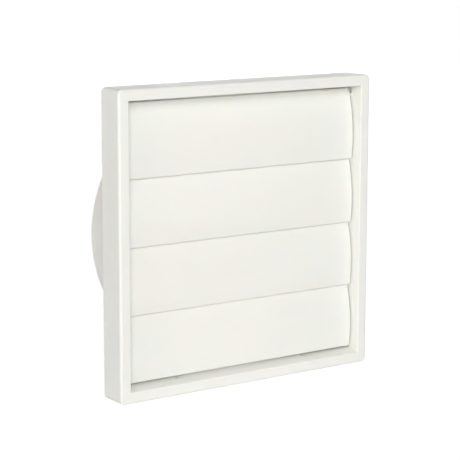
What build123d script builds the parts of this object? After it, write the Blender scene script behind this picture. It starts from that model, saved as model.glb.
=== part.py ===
from build123d import *
import math
import os

# A gravity vent grille: a square moulded frame with a round duct collar behind and four hinged flaps in front.
# Millimetres. The origin is on the duct's axis in the wall plane, X to the right, Y into the wall, Z up.
# Depths are counted from the front of the bezel towards the wall.

# Frame
collar_diameter = 148.0     # outside of the collar, for a 150 mm duct
collar_wall = 2.0
collar_length = 31.0        # behind the wall plane
collar_chamfer = 0.6        # lead-in round the collar's rim
wall = 2.0                  # skirt, front and inner walls of the bezel
channel_width = 2.4         # hollow between the skirt and the inner wall
plate_thickness = 2.0
plate_rim = 4.6             # back plate left beside the collar
sill_slope = 10.0           # degrees down to the front, so that rain runs out
corner_radius = 3.0         # outer corners, seen from the front
outer_edge_radius = 1.5     # front edge of the skirt
inner_edge_radius = 0.6     # front edge of the opening

# Fixing holes in the corners of the back plate
fixing_radius = 2.25
fixing_sink_radius = 3.5
fixing_sink_angle = 90
fixing_inset = 12.6         # from the inner walls

# Flaps
flap_count = 4
flap_recess = 6.15          # depth of the flap's most forward line
flap_apex_height = 13.0     # of that line above the flap's lower edge
flap_thickness = 1.5
flap_edge_radius = 0.5      # front of the lower edge and the ends
bead_height = 1.6           # along the back of the lower edge
bead_step = 0.3             # behind the blade
lip_rise = 3.95             # of the top edge above the hinge
ear_rise = 0.45             # of the ears above the top edge
ear_width = 2.0
sill_gap = 2.8              # below the lowest flap, from the front of the sill
head_gap = 1.55             # above the ears of the top flap
end_gap = 0.6               # between a flap's ends and the inner walls
lap_gap = 0.73              # between a flap's bead and the face of the flap below

# Hinges
hinge_drop = 0.55           # of the hinge below the lower edge of the flap above
hinge_setback = 0.33        # of the hinge behind the blade's face
pin_radius = 1.1
pin_clearance = 0.08        # radial
pin_past_wall = 0.6         # of the pin into the bezel's hollow
pin_chamfer = 0.3
slot_width = 1.8            # slot above each pin seat, narrower than the pin
slot_head_gap = 0.65        # above the top slot
swing_clearance = 0.3       # between the ears and the back plate as a flap swings

# Stop ribs behind the lowest flap, with a drain slot under the front of each
stop_spacing = 87.0
stop_thickness = 1.2
stop_foot = 2.5             # above the front of the sill
stop_height = 9.5
stop_clearance = 0.3
drain_width = 1.2
drain_length = 3.8

# The face follows from the collar
bezel_width = 2 * wall + channel_width
opening_size = collar_diameter + 2 * plate_rim
face_size = opening_size + 2 * bezel_width
collar_radius = collar_diameter / 2
bore_radius = collar_radius - collar_wall

# Flap spacing: the hinges share the height between the sill and the head
hinge_to_head = lip_rise + ear_rise + head_gap
flap_pitch = (opening_size - sill_gap - hinge_to_head + hinge_drop) / flap_count
hinge_height = flap_pitch - hinge_drop
top_height = hinge_height + lip_rise
ear_height = top_height + ear_rise
flap_width = opening_size - 2 * end_gap

# Blade: its face is the arc that steps back behind the flap above by a thickness, a bead and a gap
lap_step = flap_thickness + bead_step + lap_gap
above_apex = flap_pitch - flap_apex_height
far_run = (above_apex**2 - flap_apex_height**2 - lap_step**2) / (2 * lap_step)
face_radius = math.hypot(far_run, above_apex)
back_radius = face_radius - flap_thickness


def arc_depth(radius, height):
    """Depth of the blade's face or back at a height above the flap's lower edge."""
    return flap_recess + face_radius - math.sqrt(radius**2 - (height - flap_apex_height) ** 2)


hinge_depth = arc_depth(face_radius, hinge_height) + hinge_setback
bead_depth = arc_depth(back_radius, 0) + bead_step
ear_back = arc_depth(back_radius, ear_height) - hinge_depth
swing_reach = math.hypot(ear_back, ear_height - hinge_height)

# The frame is as deep as the swing of the ears needs
plate_depth = hinge_depth + swing_reach + swing_clearance
frame_depth = plate_depth + plate_thickness
sill = -opening_size / 2
head = opening_size / 2
sill_rise = math.tan(math.radians(sill_slope))
sill_wall = wall / math.cos(math.radians(sill_slope))
stop_depth = bead_depth + stop_clearance
flap_bottoms = [sill + sill_gap + flap_pitch * step for step in reversed(range(flap_count))]


def sill_height(depth):
    """Height of the sloping sill at a depth."""
    return sill + depth * sill_rise


os.makedirs("parts", exist_ok=True)

# Frame: bezel, back plate and collar in one moulding
with BuildPart() as frame:
    with BuildSketch(Plane.XZ):
        RectangleRounded(face_size, face_size, corner_radius)
    extrude(amount=frame_depth)
    fillet(frame.faces().sort_by(Axis.Y)[0].edges(), outer_edge_radius)

    # Opening in front of the back plate, with its sill sloping down to the front
    with BuildSketch(Plane.YZ):
        sill_back = (plate_depth - frame_depth, sill_height(plate_depth))
        head_back = (plate_depth - frame_depth, head)
        Polygon((-frame_depth, sill), sill_back, head_back, (-frame_depth, head), align=None)
    extrude(amount=opening_size / 2, both=True, mode=Mode.SUBTRACT)
    fillet(frame.faces().sort_by(Axis.Y)[0].inner_wires()[0].edges(), inner_edge_radius)

    # Hollow of the bezel, open to the wall
    with BuildSketch(Plane.XZ):
        Rectangle(face_size - 2 * wall, face_size - 2 * wall)
        Rectangle(opening_size + 2 * wall, opening_size + 2 * wall, mode=Mode.SUBTRACT)
    extrude(amount=frame_depth - wall, mode=Mode.SUBTRACT)

    # The hollow widens under the sill, so that the sill is as thick as the other walls
    with BuildSketch(Plane.YZ):
        under_front = (wall - frame_depth, sill_height(wall) - sill_wall)
        under_back = (0, sill_height(frame_depth) - sill_wall)
        Polygon((wall - frame_depth, sill - wall), (0, sill - wall), under_back, under_front, align=None)
    extrude(amount=opening_size / 2 + wall, both=True, mode=Mode.SUBTRACT)

    # Collar and the duct's way through it
    with BuildSketch(Plane.XZ):
        Circle(collar_radius)
    extrude(amount=-collar_length)
    chamfer(frame.faces().sort_by(Axis.Y)[-1].edges(), collar_chamfer)
    with BuildSketch(Plane.XZ.offset(plate_thickness)):
        Circle(bore_radius)
    extrude(amount=-plate_thickness - collar_length, mode=Mode.SUBTRACT)

    # Pin seats in both inner walls, each with the slot that the pin is pressed down through
    for side in (-1, 1):
        with BuildSketch(Plane.YZ.offset(side * opening_size / 2)):
            for bottom in flap_bottoms:
                with Locations((hinge_depth - frame_depth, bottom + hinge_height)):
                    Circle(pin_radius + pin_clearance)
                    Rectangle(slot_width, hinge_to_head - slot_head_gap, align=(Align.CENTER, Align.MIN))
        extrude(amount=side * (wall + channel_width / 2), mode=Mode.SUBTRACT)

    # Drain slots through the sill
    with BuildSketch(Plane.XY.offset(sill - wall)):
        with Locations((0, stop_depth - frame_depth)):
            with GridLocations(stop_spacing, 0, 2, 1):
                Rectangle(drain_width, drain_length)
    extrude(amount=wall + plate_depth * sill_rise, mode=Mode.SUBTRACT)

    # Ribs that the lowest flap closes against, standing out from the back plate over the drain slots
    with BuildSketch(Plane.XZ.offset(plate_thickness)):
        with Locations((0, sill + stop_foot)):
            with GridLocations(stop_spacing, 0, 2, 1):
                Rectangle(stop_thickness, stop_height, align=(Align.CENTER, Align.MIN))
    extrude(amount=plate_depth - stop_depth)

    # Fixing holes, sunk from the front
    with Locations(Plane.XZ.offset(plate_thickness)):
        fixing_spacing = opening_size - 2 * fixing_inset
        with GridLocations(fixing_spacing, fixing_spacing, 2, 2):
            CounterSinkHole(fixing_radius, fixing_sink_radius, plate_thickness, fixing_sink_angle)

frame.part.label = "frame"
export_step(frame.part, "parts/frame.step")

# Flaps, from the top one down
for number, bottom in enumerate(flap_bottoms, start=1):
    flap_plane = Plane(origin=(0, -frame_depth, bottom), x_dir=(0, 1, 0), z_dir=(1, 0, 0))
    with BuildPart() as flap:
        # Curved blade with the bead behind its lower edge
        with BuildSketch(flap_plane.offset(-flap_width / 2)):
            with BuildLine():
                foot = (arc_depth(face_radius, 0), 0)
                top = (arc_depth(face_radius, ear_height), ear_height)
                back_top = (arc_depth(back_radius, ear_height), ear_height)
                bead_top = (arc_depth(back_radius, bead_height), bead_height)
                ThreePointArc(foot, (flap_recess, flap_apex_height), top)
                Line(top, back_top)
                ThreePointArc(back_top, (flap_recess + flap_thickness, flap_apex_height), bead_top)
                Polyline(bead_top, (bead_depth, bead_height), (bead_depth, 0), foot)
            make_face()
        extrude(amount=flap_width)
        blade_face = flap.faces().filter_by(GeomType.CYLINDER).sort_by(SortBy.AREA)[-1]
        fillet(blade_face.edges().sort_by(Axis.Z)[:-1], flap_edge_radius)

        # Top edge, cut down between the ears
        with BuildSketch(Plane.XZ):
            with Locations((0, bottom + top_height)):
                Rectangle(flap_width - 2 * ear_width, ear_rise, align=(Align.CENTER, Align.MIN))
        extrude(amount=frame_depth, mode=Mode.SUBTRACT)

        # Pivot pins
        for side in (-1, 1):
            with BuildSketch(flap_plane.offset(side * flap_width / 2)):
                with Locations((hinge_depth, hinge_height)):
                    Circle(pin_radius)
            extrude(amount=side * (end_gap + wall + pin_past_wall))
        ends = flap.faces().sort_by(Axis.X)
        chamfer(ends[0].edges() + ends[-1].edges(), pin_chamfer)

    flap.part.label = f"flap_{number}"
    export_step(flap.part, f"parts/flap_{number}.step")
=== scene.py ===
import math

import bpy
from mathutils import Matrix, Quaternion, Vector


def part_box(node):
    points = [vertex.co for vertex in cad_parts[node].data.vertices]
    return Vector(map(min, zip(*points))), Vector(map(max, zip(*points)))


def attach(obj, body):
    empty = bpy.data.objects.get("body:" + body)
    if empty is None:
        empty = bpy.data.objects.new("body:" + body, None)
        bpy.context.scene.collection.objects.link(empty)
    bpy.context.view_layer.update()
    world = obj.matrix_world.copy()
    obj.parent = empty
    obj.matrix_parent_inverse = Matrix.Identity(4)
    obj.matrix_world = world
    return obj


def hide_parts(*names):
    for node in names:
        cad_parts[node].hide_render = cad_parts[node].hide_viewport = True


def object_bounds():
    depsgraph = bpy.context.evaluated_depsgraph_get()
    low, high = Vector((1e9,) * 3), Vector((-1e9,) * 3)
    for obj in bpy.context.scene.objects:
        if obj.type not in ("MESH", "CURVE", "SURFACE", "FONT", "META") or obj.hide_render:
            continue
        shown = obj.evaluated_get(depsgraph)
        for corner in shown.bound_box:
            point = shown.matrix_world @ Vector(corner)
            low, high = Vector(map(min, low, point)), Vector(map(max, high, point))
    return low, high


# Gravity vent grille: the looks of the moulded frame and of its four hinged flaps.
# Metres, in the part's own frame: X to the right, Y into the wall, Z up.
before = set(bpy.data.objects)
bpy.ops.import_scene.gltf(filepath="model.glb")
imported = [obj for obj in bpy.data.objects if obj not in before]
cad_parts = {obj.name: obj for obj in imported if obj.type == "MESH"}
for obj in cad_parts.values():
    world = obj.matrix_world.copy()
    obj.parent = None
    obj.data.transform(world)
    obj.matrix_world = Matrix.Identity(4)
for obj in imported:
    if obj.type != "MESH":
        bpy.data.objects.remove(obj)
cad_low, cad_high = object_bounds()
scene = bpy.context.scene
scene.view_settings.view_transform = "Standard"

# Colours, linear: a warm white, and the slightly yellower white of thicker or slower-cooled plastic
WHITE = (0.866, 0.867, 0.824, 1.0)
WARM_WHITE = (0.852, 0.85, 0.802, 1.0)

# How light goes into the plastic
REFRACTION = 1.49
GLOW_SHARE = 0.4
GLOW_TINT = (1.0, 0.7, 0.45)
GLOW_REACH = 0.0015

# Grain of the mould
GRAIN_SCALE = 1500.0
GRAIN_GLOSS_SHARE = 0.35
GRAIN_STEP = 0.00005

# Marks of the mould's ejector pins
MARK_LINE_WIDTH = 0.0004
MARK_SUNK_SHARE = 0.3
MARK_STEP = 0.0002
MARK_POLISH = 0.12
CORNER_MARK = (0.074, 0.05, 0.0)
FRAME_MARK_RADIUS = 0.003
FLAP_MARK_RADIUS = 0.002
FLAP_MARK_SPACING = 0.05
FLAP_MARK_HEIGHT = 0.02

# Where the flaps are
FLAP_COUNT = 4
FLAP_PITCH = 0.03725
LOWEST_FOOT = -0.0758

# Sizes of a flap, as in the part; the lower edge and the front are set for each flap
FLAP_SIZES = {
    "Width": 0.156,
    "Lower Edge": 0.0,
    "Front": 0.0,
    "Apex Height": 0.013,
    "Face Radius": 0.0850826,
    "Thickness": 0.0015,
    "Bead Height": 0.0016,
    "Bead Step": 0.0003,
    "Lip Height": 0.04065,
    "Ear Rise": 0.00045,
    "Ear Width": 0.002,
    "Hinge Height": 0.0367,
    "Hinge Setback": 0.00033,
    "Pin Radius": 0.0011,
    "Pin Reach": 0.0032,
}

# How finely a flap is made, and how its edges are rounded
ARC_POINTS = 40
PIN_SIDES = 32
MERGE_DISTANCE = 0.000001
CUTTER_DEPTH = 0.03
EDGE_ROUNDING = 0.0005
EDGE_STEPS = 3
BACK_ROUNDING_SHARE = 0.5
PIN_TIP_SHARE = 0.6
SHARP_TURN = math.radians(35)

# Studio: floor, sky and soft lamps
FLOOR_COLOUR = (0.9, 0.9, 0.9, 1.0)
FLOOR_GLOW = 1.165
FLOOR_GLOW_SHARE = 0.8
FLOOR_RADIUS = 2.2
FLOOR_SIDES = 96
SKY_STRENGTH = 0.22

# Lamps: two in front, one at the left, and one low behind at the right.
# Each has a name, a place, a width, a height and a power in watts.
LAMPS = [
    ("softbox", (-1.398, -2.072, 0.717), 1.2, 1.0, 27.2),
    ("front light", (-0.331, -2.352, 1.058), 3.6, 2.2, 26.4),
    ("side light", (-2.505, -0.442, 0.541), 1.4, 1.4, 12.4),
    ("rear light", (1.298, 2.249, 0.136), 2.4, 0.44, 37.0),
]

# Camera's view: from the left and a little above, at the photograph's distance
YAW = math.radians(35.336)
PITCH = math.radians(10.05)
ROLL = math.radians(-0.112)
DISTANCE = 0.9463
LOOKED_AT = Vector((-0.01373, -0.017293, 0.003895))
FOCAL_LENGTH = 134.38
SENSOR_WIDTH = 36.0


def add_node(tree, kind, place, **settings):
    """A node of a kind at a place in the editor, with its settings."""
    node = tree.nodes.new(kind)
    node.location = place
    for name, value in settings.items():
        setattr(node, name, value)
    return node


def feed(tree, value, socket):
    """Links a socket, or sets a plain value."""
    if isinstance(value, bpy.types.NodeSocket):
        tree.links.new(value, socket)
    else:
        socket.default_value = value


def maths(tree, operation, first, second, place):
    """One calculation with two numbers or sockets."""
    node = add_node(tree, "ShaderNodeMath", place, operation=operation)
    feed(tree, first, node.inputs[0])
    feed(tree, second, node.inputs[1])
    return node.outputs["Value"]


def point(tree, x, y, z, place):
    """A place from three numbers or sockets."""
    node = add_node(tree, "ShaderNodeCombineXYZ", place)
    feed(tree, x, node.inputs["X"])
    feed(tree, y, node.inputs["Y"])
    feed(tree, z, node.inputs["Z"])
    return node.outputs["Vector"]


def moulded_surface_group():
    """Shader group: what moulding leaves on white plastic, as a colour, a roughness and a height."""
    group = bpy.data.node_groups.new("moulded surface", "ShaderNodeTree")
    face = group.interface
    face.new_socket("Colour", in_out="INPUT", socket_type="NodeSocketColor")
    face.new_socket("Slow Colour", in_out="INPUT", socket_type="NodeSocketColor")
    stretch = face.new_socket("Flow Stretch", in_out="INPUT", socket_type="NodeSocketVector")
    stretch.default_value = (1.0, 1.0, 1.0)
    smooth = face.new_socket("Smooth Roughness", in_out="INPUT", socket_type="NodeSocketFloat")
    smooth.default_value = 0.46
    dull = face.new_socket("Dull Roughness", in_out="INPUT", socket_type="NodeSocketFloat")
    dull.default_value = 0.6
    grain = face.new_socket("Grain Depth", in_out="INPUT", socket_type="NodeSocketFloat")
    grain.default_value = 0.3
    face.new_socket("Colour", in_out="OUTPUT", socket_type="NodeSocketColor")
    face.new_socket("Roughness", in_out="OUTPUT", socket_type="NodeSocketFloat")
    face.new_socket("Height", in_out="OUTPUT", socket_type="NodeSocketFloat")

    source = add_node(group, "NodeGroupInput", (-900, 0))
    result = add_node(group, "NodeGroupOutput", (700, 0))
    place = add_node(group, "ShaderNodeTexCoord", (-900, -260))
    flow_place = add_node(group, "ShaderNodeMapping", (-660, -120))
    feed(group, place.outputs["Object"], flow_place.inputs["Vector"])
    feed(group, source.outputs["Flow Stretch"], flow_place.inputs["Scale"])

    # Flow of the melt: wide soft patches that shift the tint and the gloss
    flow = add_node(group, "ShaderNodeTexNoise", (-440, 40))
    flow.inputs["Scale"].default_value = 28.0
    flow.inputs["Detail"].default_value = 3.0
    flow.inputs["Roughness"].default_value = 0.55
    flow.inputs["Distortion"].default_value = 0.4
    feed(group, flow_place.outputs["Vector"], flow.inputs["Vector"])
    patches = add_node(group, "ShaderNodeMapRange", (-200, 60), interpolation_type="SMOOTHSTEP")
    patches.inputs["From Min"].default_value = 0.34
    patches.inputs["From Max"].default_value = 0.68
    feed(group, flow.outputs["Fac"], patches.inputs["Value"])
    tint = add_node(group, "ShaderNodeMix", (120, 200), data_type="RGBA")
    feed(group, patches.outputs["Result"], tint.inputs["Factor"])
    feed(group, source.outputs["Colour"], tint.inputs["A"])
    feed(group, source.outputs["Slow Colour"], tint.inputs["B"])
    feed(group, tint.outputs["Result"], result.inputs["Colour"])

    # Spark-eroded grain of the mould: fine, even and shallow
    fine = add_node(group, "ShaderNodeTexNoise", (-440, -300))
    fine.inputs["Scale"].default_value = GRAIN_SCALE
    fine.inputs["Detail"].default_value = 2.0
    feed(group, place.outputs["Object"], fine.inputs["Vector"])
    gloss = add_node(group, "ShaderNodeMath", (-200, -180), operation="MULTIPLY_ADD")
    gloss.inputs[1].default_value = GRAIN_GLOSS_SHARE
    feed(group, fine.outputs["Fac"], gloss.inputs[0])
    share = add_node(group, "ShaderNodeMath", (-40, -60), operation="MULTIPLY")
    share.inputs[1].default_value = 1.0 - GRAIN_GLOSS_SHARE
    feed(group, patches.outputs["Result"], share.inputs[0])
    feed(group, share.outputs["Value"], gloss.inputs[2])
    rough = add_node(group, "ShaderNodeMix", (300, -60), data_type="FLOAT")
    feed(group, gloss.outputs["Value"], rough.inputs["Factor"])
    feed(group, source.outputs["Smooth Roughness"], rough.inputs["A"])
    feed(group, source.outputs["Dull Roughness"], rough.inputs["B"])
    feed(group, rough.outputs["Result"], result.inputs["Roughness"])
    height = add_node(group, "ShaderNodeMath", (300, -300), operation="MULTIPLY_ADD")
    feed(group, fine.outputs["Fac"], height.inputs[0])
    feed(group, source.outputs["Grain Depth"], height.inputs[1])
    feed(group, patches.outputs["Result"], height.inputs[2])
    feed(group, height.outputs["Value"], result.inputs["Height"])
    return group


def ejector_marks_group():
    """Shader group: the shallow round marks that a mould's ejector pins leave, as a height and a polish."""
    group = bpy.data.node_groups.new("ejector marks", "ShaderNodeTree")
    face = group.interface
    for name in ("From Middle", "Radius", "Line Width", "Facing"):
        face.new_socket(name, in_out="INPUT", socket_type="NodeSocketFloat")
    face.new_socket("Height", in_out="OUTPUT", socket_type="NodeSocketFloat")
    face.new_socket("Polish", in_out="OUTPUT", socket_type="NodeSocketFloat")
    source = add_node(group, "NodeGroupInput", (-900, 0)).outputs
    result = add_node(group, "NodeGroupOutput", (500, 0))

    # Fine line round each mark, and its face a little lower and smoother than the rest
    past_rim = maths(group, "SUBTRACT", source["From Middle"], source["Radius"], (-700, 100))
    off_rim = maths(group, "ABSOLUTE", past_rim, 0.0, (-520, 200))
    line = add_node(group, "ShaderNodeMapRange", (-340, 200), interpolation_type="SMOOTHSTEP")
    feed(group, off_rim, line.inputs["Value"])
    feed(group, source["Line Width"], line.inputs["From Max"])
    line.inputs["To Min"].default_value = 1.0
    line.inputs["To Max"].default_value = 0.0
    inside = maths(group, "LESS_THAN", source["From Middle"], source["Radius"], (-340, -100))
    sunk = maths(group, "MULTIPLY", inside, MARK_SUNK_SHARE, (-160, -100))
    depth = maths(group, "ADD", line.outputs["Result"], sunk, (0, 100))
    hidden_depth = maths(group, "MULTIPLY", depth, source["Facing"], (160, 100))
    feed(group, maths(group, "MULTIPLY", hidden_depth, -1.0, (320, 100)), result.inputs["Height"])
    feed(group, maths(group, "MULTIPLY", inside, source["Facing"], (160, -100)), result.inputs["Polish"])
    return group


def from_corner_mark(tree, place):
    """Distance from the nearest of the eight marks beside the corners of the back plate."""
    across = maths(tree, "ABSOLUTE", place["X"], 0.0, (-1500, -400))
    up = maths(tree, "ABSOLUTE", place["Z"], 0.0, (-1500, -560))
    outer = maths(tree, "MAXIMUM", across, up, (-1340, -400))
    inner = maths(tree, "MINIMUM", across, up, (-1340, -560))
    span = add_node(tree, "ShaderNodeVectorMath", (-1020, -480), operation="DISTANCE")
    feed(tree, point(tree, outer, inner, 0.0, (-1180, -480)), span.inputs[0])
    span.inputs[1].default_value = CORNER_MARK
    return span.outputs["Value"]


def from_flap_mark(tree, place):
    """Distance from the nearest of the three marks across the back of each flap."""
    across = maths(tree, "ABSOLUTE", place["X"], 0.0, (-1660, -400))
    past_side = maths(tree, "SUBTRACT", across, FLAP_MARK_SPACING, (-1500, -400))
    off_side = maths(tree, "ABSOLUTE", past_side, 0.0, (-1340, -400))
    nearest = maths(tree, "MINIMUM", across, off_side, (-1180, -400))
    above_foot = maths(tree, "SUBTRACT", place["Z"], LOWEST_FOOT, (-1660, -560))
    on_flap = maths(tree, "FLOORED_MODULO", above_foot, FLAP_PITCH, (-1500, -560))
    rise = maths(tree, "SUBTRACT", on_flap, FLAP_MARK_HEIGHT, (-1340, -560))
    span = add_node(tree, "ShaderNodeVectorMath", (-1020, -480), operation="LENGTH")
    feed(tree, point(tree, nearest, rise, 0.0, (-1180, -560)), span.inputs[0])
    return span.outputs["Value"]


def moulded_plastic(name, groups, stretch, grain_depth, bump_strength, from_mark, mark_radius):
    """Satin white plastic, its flow drawn out by a stretch, with ejector marks on the faces behind."""
    surface_group, marks_group = groups
    material = bpy.data.materials.new(name)
    material.use_nodes = True
    tree = material.node_tree
    shader = tree.nodes["Principled BSDF"]
    shader.inputs["IOR"].default_value = REFRACTION
    shader.inputs["Subsurface Weight"].default_value = GLOW_SHARE
    shader.inputs["Subsurface Radius"].default_value = GLOW_TINT
    shader.inputs["Subsurface Scale"].default_value = GLOW_REACH
    surface = add_node(tree, "ShaderNodeGroup", (-900, 200), node_tree=surface_group)
    surface.inputs["Colour"].default_value = WHITE
    surface.inputs["Slow Colour"].default_value = WARM_WHITE
    surface.inputs["Flow Stretch"].default_value = stretch
    surface.inputs["Grain Depth"].default_value = grain_depth
    grain = add_node(tree, "ShaderNodeBump", (-500, -120))
    grain.inputs["Strength"].default_value = bump_strength
    grain.inputs["Distance"].default_value = GRAIN_STEP
    feed(tree, surface.outputs["Colour"], shader.inputs["Base Color"])
    feed(tree, surface.outputs["Height"], grain.inputs["Height"])

    # Ejector marks, only on faces that look towards the wall
    source = add_node(tree, "ShaderNodeTexCoord", (-2000, -400))
    place = add_node(tree, "ShaderNodeSeparateXYZ", (-1820, -400))
    feed(tree, source.outputs["Object"], place.inputs["Vector"])
    look = add_node(tree, "ShaderNodeSeparateXYZ", (-1820, -800))
    feed(tree, source.outputs["Normal"], look.inputs["Vector"])
    marks = add_node(tree, "ShaderNodeGroup", (-800, -480), node_tree=marks_group)
    feed(tree, from_mark(tree, place.outputs), marks.inputs["From Middle"])
    marks.inputs["Radius"].default_value = mark_radius
    marks.inputs["Line Width"].default_value = MARK_LINE_WIDTH
    to_wall = maths(tree, "GREATER_THAN", look.outputs["Y"], 0.5, (-1020, -800))
    feed(tree, to_wall, marks.inputs["Facing"])
    pressed = add_node(tree, "ShaderNodeBump", (-300, -300))
    pressed.inputs["Strength"].default_value = 1.0
    pressed.inputs["Distance"].default_value = MARK_STEP
    feed(tree, marks.outputs["Height"], pressed.inputs["Height"])
    feed(tree, grain.outputs["Normal"], pressed.inputs["Normal"])
    feed(tree, pressed.outputs["Normal"], shader.inputs["Normal"])
    polish = maths(tree, "MULTIPLY", marks.outputs["Polish"], MARK_POLISH, (-560, -480))
    gloss = maths(tree, "SUBTRACT", surface.outputs["Roughness"], polish, (-300, 60))
    feed(tree, gloss, shader.inputs["Roughness"])
    return material


def flap_tree(material):
    """Geometry nodes for one flap: a curved blade with its bead, lip and ears, and a pin at each end."""
    tree = bpy.data.node_groups.new("hinged flap", "GeometryNodeTree")
    face = tree.interface
    for name, size in FLAP_SIZES.items():
        socket = face.new_socket(name, in_out="INPUT", socket_type="NodeSocketFloat")
        socket.default_value = size
    face.new_socket("Flap", in_out="OUTPUT", socket_type="NodeSocketGeometry")
    size = add_node(tree, "NodeGroupInput", (-2400, 0)).outputs
    result = add_node(tree, "NodeGroupOutput", (2400, 0))

    # Angles at the middle of the face's arc, from its most forward line
    ear_height = maths(tree, "ADD", size["Lip Height"], size["Ear Rise"], (-2200, 300))
    rise = maths(tree, "SUBTRACT", ear_height, size["Apex Height"], (-2000, 300))
    back_radius = maths(tree, "SUBTRACT", size["Face Radius"], size["Thickness"], (-2200, 100))
    bead_drop = maths(tree, "SUBTRACT", size["Apex Height"], size["Bead Height"], (-2200, -100))

    def angle(height, radius, place):
        """Angle that a height makes on an arc of a radius."""
        share = maths(tree, "DIVIDE", height, radius, place)
        return maths(tree, "ARCSINE", share, 0.0, (place[0] + 160, place[1]))

    foot_angle = angle(size["Apex Height"], size["Face Radius"], (-1800, 500))
    top_angle = angle(rise, size["Face Radius"], (-1800, 340))
    back_top_angle = angle(rise, back_radius, (-1800, 180))
    bead_angle = angle(bead_drop, back_radius, (-1800, 20))

    # Face from the foot up to the ears, and back from the ears down to the bead
    face_arc = add_node(tree, "GeometryNodeCurveArc", (-1200, 500), mode="RADIUS")
    face_arc.inputs["Resolution"].default_value = ARC_POINTS
    feed(tree, size["Face Radius"], face_arc.inputs["Radius"])
    feed(tree, maths(tree, "ADD", foot_angle, math.pi, (-1400, 600)), face_arc.inputs["Start Angle"])
    face_sweep = maths(tree, "ADD", foot_angle, top_angle, (-1560, 440))
    feed(tree, maths(tree, "MULTIPLY", face_sweep, -1.0, (-1400, 440)), face_arc.inputs["Sweep Angle"])
    back_arc = add_node(tree, "GeometryNodeCurveArc", (-1200, 200), mode="RADIUS")
    back_arc.inputs["Resolution"].default_value = ARC_POINTS
    feed(tree, back_radius, back_arc.inputs["Radius"])
    feed(tree, maths(tree, "SUBTRACT", math.pi, back_top_angle, (-1400, 240)), back_arc.inputs["Start Angle"])
    feed(tree, maths(tree, "ADD", back_top_angle, bead_angle, (-1400, 80)), back_arc.inputs["Sweep Angle"])

    # Bead behind the lower edge
    def arc_depth(radius, height, place):
        """Depth of an arc from its middle at a height from its most forward line, towards the front."""
        square = maths(tree, "MULTIPLY", radius, radius, place)
        fall = maths(tree, "MULTIPLY", height, height, (place[0], place[1] - 160))
        rest = maths(tree, "SUBTRACT", square, fall, (place[0] + 160, place[1]))
        root = maths(tree, "SQRT", rest, 0.0, (place[0] + 320, place[1]))
        return maths(tree, "MULTIPLY", root, -1.0, (place[0] + 480, place[1]))

    back_foot = arc_depth(back_radius, size["Apex Height"], (-1800, -200))
    bead_back = maths(tree, "ADD", back_foot, size["Bead Step"], (-1100, -200))
    below = maths(tree, "MULTIPLY", size["Apex Height"], -1.0, (-1300, -380))
    bead_top = maths(tree, "MULTIPLY", bead_drop, -1.0, (-1300, -540))
    upper_corner = add_node(tree, "GeometryNodePoints", (-900, -200))
    feed(tree, point(tree, bead_back, bead_top, 0.0, (-1060, -380)), upper_corner.inputs["Position"])
    lower_corner = add_node(tree, "GeometryNodePoints", (-900, -400))
    feed(tree, point(tree, bead_back, below, 0.0, (-1060, -540)), lower_corner.inputs["Position"])

    # Section of the blade, drawn out to its width
    face_points = add_node(tree, "GeometryNodeCurveToPoints", (-1000, 500), mode="EVALUATED")
    feed(tree, face_arc.outputs["Curve"], face_points.inputs["Curve"])
    back_points = add_node(tree, "GeometryNodeCurveToPoints", (-1000, 200), mode="EVALUATED")
    feed(tree, back_arc.outputs["Curve"], back_points.inputs["Curve"])
    outline = add_node(tree, "GeometryNodeJoinGeometry", (-700, 200))
    for points in (lower_corner, upper_corner, back_points, face_points):
        feed(tree, points.outputs["Points"], outline.inputs["Geometry"])
    drawn = add_node(tree, "GeometryNodePointsToCurves", (-540, 200))
    feed(tree, outline.outputs["Geometry"], drawn.inputs["Points"])
    closed = add_node(tree, "GeometryNodeSetSplineCyclic", (-380, 200))
    closed.inputs["Cyclic"].default_value = True
    feed(tree, drawn.outputs["Curves"], closed.inputs["Geometry"])
    section = add_node(tree, "GeometryNodeFillCurve", (-220, 200), mode="NGONS")
    feed(tree, closed.outputs["Geometry"], section.inputs["Curve"])
    length = add_node(tree, "GeometryNodeExtrudeMesh", (-40, 200), mode="FACES")
    length.inputs["Individual"].default_value = False
    length.inputs["Offset"].default_value = (0.0, 0.0, 1.0)
    feed(tree, section.outputs["Mesh"], length.inputs["Mesh"])
    feed(tree, size["Width"], length.inputs["Offset Scale"])
    far_end = add_node(tree, "GeometryNodeFlipFaces", (-40, 0))
    feed(tree, section.outputs["Mesh"], far_end.inputs["Mesh"])
    both = add_node(tree, "GeometryNodeJoinGeometry", (140, 200))
    feed(tree, length.outputs["Mesh"], both.inputs["Geometry"])
    feed(tree, far_end.outputs["Mesh"], both.inputs["Geometry"])
    joined = add_node(tree, "GeometryNodeMergeByDistance", (300, 200))
    joined.inputs["Distance"].default_value = MERGE_DISTANCE
    feed(tree, both.outputs["Geometry"], joined.inputs["Geometry"])

    # Into the frame: depth along Y, height along Z, width along X
    middle_depth = maths(tree, "ADD", size["Front"], size["Face Radius"], (100, -200))
    middle_height = maths(tree, "ADD", size["Lower Edge"], size["Apex Height"], (100, -360))
    half_left = maths(tree, "MULTIPLY", size["Width"], -0.5, (100, -520))
    blade = add_node(tree, "GeometryNodeTransform", (480, 200))
    blade.inputs["Rotation"].default_value = (math.pi / 2, 0.0, math.pi / 2)
    feed(tree, joined.outputs["Geometry"], blade.inputs["Geometry"])
    feed(tree, point(tree, half_left, middle_depth, middle_height, (300, -300)), blade.inputs["Translation"])

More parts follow.
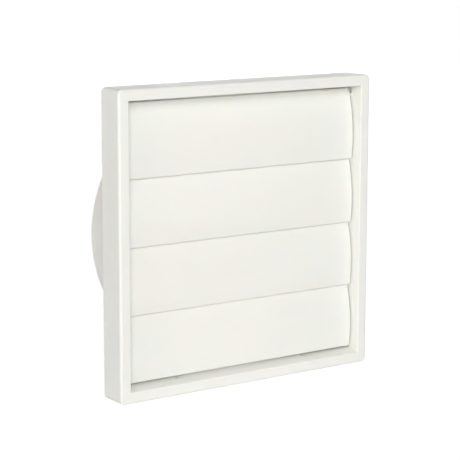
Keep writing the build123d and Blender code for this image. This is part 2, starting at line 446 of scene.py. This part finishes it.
    # Top edge, cut down between the ears
    ears = maths(tree, "MULTIPLY", size["Ear Width"], -2.0, (300, -700))
    cut_width = maths(tree, "ADD", size["Width"], ears, (460, -700))
    cut_rise = maths(tree, "MULTIPLY", size["Ear Rise"], 2.0, (300, -860))
    cutter = add_node(tree, "GeometryNodeMeshCube", (780, -700))
    feed(tree, point(tree, cut_width, CUTTER_DEPTH, cut_rise, (620, -700)), cutter.inputs["Size"])
    cut_height = maths(tree, "ADD", size["Lower Edge"], ear_height, (460, -1020))
    cut_place = add_node(tree, "GeometryNodeTransform", (940, -700))
    feed(tree, cutter.outputs["Mesh"], cut_place.inputs["Geometry"])
    feed(tree, point(tree, 0.0, size["Front"], cut_height, (620, -1020)), cut_place.inputs["Translation"])
    trimmed = add_node(tree, "GeometryNodeMeshBoolean", (1100, 200), operation="DIFFERENCE", solver="EXACT")
    feed(tree, blade.outputs["Geometry"], trimmed.inputs["Mesh 1"])
    feed(tree, cut_place.outputs["Geometry"], trimmed.inputs["Mesh 2"])

    # How far each outward edge is rounded: fully on the face, half behind
    spot = add_node(tree, "GeometryNodeInputPosition", (500, 700))
    parts = add_node(tree, "ShaderNodeSeparateXYZ", (660, 700))
    feed(tree, spot.outputs["Position"], parts.inputs["Vector"])
    off_depth = maths(tree, "SUBTRACT", parts.outputs["Y"], middle_depth, (820, 780))
    off_height = maths(tree, "SUBTRACT", parts.outputs["Z"], middle_height, (820, 620))
    depth_square = maths(tree, "MULTIPLY", off_depth, off_depth, (980, 780))
    height_square = maths(tree, "MULTIPLY", off_height, off_height, (980, 620))
    square_sum = maths(tree, "ADD", depth_square, height_square, (1140, 780))
    off_middle = maths(tree, "SQRT", square_sum, 0.0, (1300, 780))
    half_thick = maths(tree, "MULTIPLY", size["Thickness"], 0.5, (980, 460))
    core_radius = maths(tree, "SUBTRACT", size["Face Radius"], half_thick, (1140, 460))
    on_face = maths(tree, "GREATER_THAN", off_middle, core_radius, (1460, 700))
    face_share = maths(tree, "MULTIPLY", on_face, 1.0 - BACK_ROUNDING_SHARE, (1620, 700))
    share = maths(tree, "ADD", face_share, BACK_ROUNDING_SHARE, (1780, 700))
    turn = add_node(tree, "GeometryNodeInputMeshEdgeAngle", (1300, 540))
    outward = maths(tree, "GREATER_THAN", turn.outputs["Signed Angle"], SHARP_TURN, (1460, 540))
    weight = maths(tree, "MULTIPLY", share, outward, (1940, 620))
    rounded = add_node(tree, "GeometryNodeStoreNamedAttribute", (1300, 200), data_type="FLOAT", domain="EDGE")
    rounded.inputs["Name"].default_value = "bevel_weight_edge"
    feed(tree, trimmed.outputs["Mesh"], rounded.inputs["Geometry"])
    feed(tree, weight, rounded.inputs["Value"])

    # Pins, one at each end, with the tip chamfered
    hinge_rise = maths(tree, "SUBTRACT", size["Hinge Height"], size["Apex Height"], (100, -1200))
    hinge_face = arc_depth(size["Face Radius"], hinge_rise, (260, -1200))
    hinge_back = maths(tree, "ADD", hinge_face, size["Hinge Setback"], (920, -1200))
    hinge_depth = maths(tree, "ADD", hinge_back, middle_depth, (1080, -1200))
    hinge_height = maths(tree, "ADD", size["Lower Edge"], size["Hinge Height"], (920, -1360))
    half_width = maths(tree, "MULTIPLY", size["Width"], 0.5, (760, -1520))
    half_reach = maths(tree, "MULTIPLY", size["Pin Reach"], 0.5, (760, -1680))
    pin_right = maths(tree, "ADD", half_width, half_reach, (920, -1520))
    pin_left = maths(tree, "MULTIPLY", pin_right, -1.0, (1080, -1520))
    ends = add_node(tree, "GeometryNodeMeshLine", (1400, -1200), mode="END_POINTS")
    ends.inputs["Count"].default_value = 2
    feed(tree, point(tree, pin_left, hinge_depth, hinge_height, (1240, -1200)), ends.inputs["Start Location"])
    feed(tree, point(tree, pin_right, hinge_depth, hinge_height, (1240, -1360)), ends.inputs["Offset"])
    pin = add_node(tree, "GeometryNodeMeshCylinder", (1400, -1000))
    pin.inputs["Vertices"].default_value = PIN_SIDES
    feed(tree, size["Pin Radius"], pin.inputs["Radius"])
    feed(tree, size["Pin Reach"], pin.inputs["Depth"])
    tip = maths(tree, "MULTIPLY", pin.outputs["Top"], PIN_TIP_SHARE, (1560, -900))
    tipped = add_node(tree, "GeometryNodeStoreNamedAttribute", (1720, -900), data_type="FLOAT", domain="EDGE")
    tipped.inputs["Name"].default_value = "bevel_weight_edge"
    feed(tree, pin.outputs["Mesh"], tipped.inputs["Geometry"])
    feed(tree, tip, tipped.inputs["Value"])
    end = add_node(tree, "GeometryNodeInputIndex", (1400, -1500))
    half_turns = maths(tree, "MULTIPLY", end.outputs["Index"], math.pi, (1560, -1500))
    turn_out = maths(tree, "SUBTRACT", half_turns, math.pi / 2, (1720, -1500))
    pins = add_node(tree, "GeometryNodeInstanceOnPoints", (1900, -1000))
    feed(tree, point(tree, 0.0, turn_out, 0.0, (1720, -1300)), pins.inputs["Rotation"])
    feed(tree, ends.outputs["Mesh"], pins.inputs["Points"])
    feed(tree, tipped.outputs["Geometry"], pins.inputs["Instance"])

    whole = add_node(tree, "GeometryNodeJoinGeometry", (1600, 0))
    feed(tree, pins.outputs["Instances"], whole.inputs["Geometry"])
    feed(tree, rounded.outputs["Geometry"], whole.inputs["Geometry"])
    plain = add_node(tree, "GeometryNodeRealizeInstances", (1760, 0))
    feed(tree, whole.outputs["Geometry"], plain.inputs["Geometry"])
    smooth = add_node(tree, "GeometryNodeSetShadeSmooth", (1900, 0), domain="FACE")
    feed(tree, plain.outputs["Geometry"], smooth.inputs["Geometry"])
    sharp = add_node(tree, "GeometryNodeSetShadeSmooth", (2040, 0), domain="EDGE")
    sharp.inputs["Shade Smooth"].default_value = False
    corner = maths(tree, "GREATER_THAN", turn.outputs["Unsigned Angle"], SHARP_TURN, (1900, -200))
    feed(tree, corner, sharp.inputs["Selection"])
    feed(tree, smooth.outputs["Geometry"], sharp.inputs["Geometry"])
    finish = add_node(tree, "GeometryNodeSetMaterial", (2200, 0))
    finish.inputs["Material"].default_value = material
    feed(tree, sharp.outputs["Geometry"], finish.inputs["Geometry"])
    feed(tree, finish.outputs["Geometry"], result.inputs["Flap"])
    return tree


def make_flap(name, tree):
    """A flap in place of the part's node of that name, as a plain mesh that rides on its body."""
    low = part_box(name)[0]
    sizes = dict(FLAP_SIZES)
    sizes["Lower Edge"] = low.z
    sizes["Front"] = low.y
    blank = bpy.data.objects.new("blank", bpy.data.meshes.new("blank"))
    scene.collection.objects.link(blank)
    shape = blank.modifiers.new("flap shape", "NODES")
    shape.node_group = tree
    for socket in tree.interface.items_tree:
        if socket.name in sizes:
            shape[socket.identifier] = sizes[socket.name]
    soften = blank.modifiers.new("rounded edges", "BEVEL")
    soften.limit_method = "WEIGHT"
    soften.width = EDGE_ROUNDING
    soften.segments = EDGE_STEPS
    soften.use_clamp_overlap = False
    soften.harden_normals = True
    graph = bpy.context.evaluated_depsgraph_get()
    mesh = bpy.data.meshes.new_from_object(blank.evaluated_get(graph), depsgraph=graph)
    mesh.name = name + "_moulding"
    bpy.data.objects.remove(blank)
    flap = bpy.data.objects.new(name + "_moulding", mesh)
    scene.collection.objects.link(flap)
    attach(flap, name)
    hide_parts(name)


# The part's frame in its plastic, and the flaps
groups = (moulded_surface_group(), ejector_marks_group())
frame_plastic = moulded_plastic(
    "frame plastic", groups, stretch=(1.0, 1.0, 1.0), grain_depth=0.35, bump_strength=0.35,
    from_mark=from_corner_mark, mark_radius=FRAME_MARK_RADIUS)
flap_plastic = moulded_plastic(
    "flap plastic", groups, stretch=(0.22, 1.0, 1.4), grain_depth=0.3, bump_strength=0.3,
    from_mark=from_flap_mark, mark_radius=FLAP_MARK_RADIUS)

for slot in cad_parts["frame"].material_slots:
    slot.material = frame_plastic
flap_shape = flap_tree(flap_plastic)
for number in range(1, FLAP_COUNT + 1):
    make_flap(f"flap_{number}", flap_shape)


def seen(tree, place):
    """One where the camera sees something straight, mirrored or through a clear piece, and else zero."""
    path = add_node(tree, "ShaderNodeLightPath", place).outputs
    beside = (place[0] + 200, place[1])
    mirrored = maths(tree, "MAXIMUM", path["Is Camera Ray"], path["Is Glossy Ray"], beside)
    return maths(tree, "MAXIMUM", mirrored, path["Is Transmission Ray"], (place[0] + 360, place[1]))


def studio_floor(height):
    """A wide pale floor at a height, nearly white to the camera, which keeps the object's shadow."""
    material = bpy.data.materials.new("studio floor")
    material.use_nodes = True
    tree = material.node_tree
    tree.nodes.remove(tree.nodes["Principled BSDF"])
    output = tree.nodes["Material Output"]
    matt = add_node(tree, "ShaderNodeBsdfDiffuse", (-500, 200))
    matt.inputs["Color"].default_value = FLOOR_COLOUR
    glow = add_node(tree, "ShaderNodeEmission", (-500, -100))
    glow.inputs["Strength"].default_value = FLOOR_GLOW
    share = maths(tree, "MULTIPLY", seen(tree, (-1000, 60)), FLOOR_GLOW_SHARE, (-440, 60))
    mix = add_node(tree, "ShaderNodeMixShader", (-200, 100))
    feed(tree, share, mix.inputs["Fac"])
    feed(tree, matt.outputs["BSDF"], mix.inputs[1])
    feed(tree, glow.outputs["Emission"], mix.inputs[2])
    feed(tree, mix.outputs["Shader"], output.inputs["Surface"])

    mesh = bpy.data.meshes.new("studio_floor")
    turns = [2 * math.pi * step / FLOOR_SIDES for step in range(FLOOR_SIDES)]
    rim = [(FLOOR_RADIUS * math.cos(turn), FLOOR_RADIUS * math.sin(turn), height) for turn in turns]
    mesh.from_pydata(rim, [], [range(FLOOR_SIDES)])
    mesh.materials.append(material)
    floor = bpy.data.objects.new("studio_floor", mesh)
    scene.collection.objects.link(floor)


def studio_sky(strength):
    """Even light from all round, which the camera and reflections see as white."""
    world = bpy.data.worlds.new("studio sky")
    scene.world = world
    world.use_nodes = True
    tree = world.node_tree
    sky = tree.nodes["Background"]
    sky.inputs["Color"].default_value = (1.0, 1.0, 1.0, 1.0)
    level = add_node(tree, "ShaderNodeMapRange", (-300, 60))
    level.inputs["To Min"].default_value = strength
    level.inputs["To Max"].default_value = 1.0
    feed(tree, seen(tree, (-900, 60)), level.inputs["Value"])
    feed(tree, level.outputs["Result"], sky.inputs["Strength"])


def soft_lamp(name, place, width, height, power):
    """A soft lamp of a width and a height at a place, turned to the origin."""
    light = bpy.data.lights.new(name, "AREA")
    light.shape = "RECTANGLE"
    light.size = width
    light.size_y = height
    light.energy = power
    lamp = bpy.data.objects.new(name, light)
    scene.collection.objects.link(lamp)
    lamp.location = place
    lamp.rotation_mode = "QUATERNION"
    lamp.rotation_quaternion = (-Vector(place)).to_track_quat("-Z", "Y")


# Studio
studio_floor(cad_low.z)
studio_sky(SKY_STRENGTH)
for lamp_sizes in LAMPS:
    soft_lamp(*lamp_sizes)

# Camera
forward = Vector((math.sin(YAW) * math.cos(PITCH), math.cos(YAW) * math.cos(PITCH), -math.sin(PITCH)))
lens = bpy.data.cameras.new("camera")
lens.lens = FOCAL_LENGTH
lens.sensor_width = SENSOR_WIDTH
lens.clip_start = 0.01
lens.clip_end = 50.0
camera = bpy.data.objects.new("camera", lens)
scene.collection.objects.link(camera)
camera.location = LOOKED_AT - forward * DISTANCE
camera.rotation_mode = "QUATERNION"
camera.rotation_quaternion = Quaternion(forward, ROLL) @ forward.to_track_quat("-Z", "Y")
scene.camera = camera
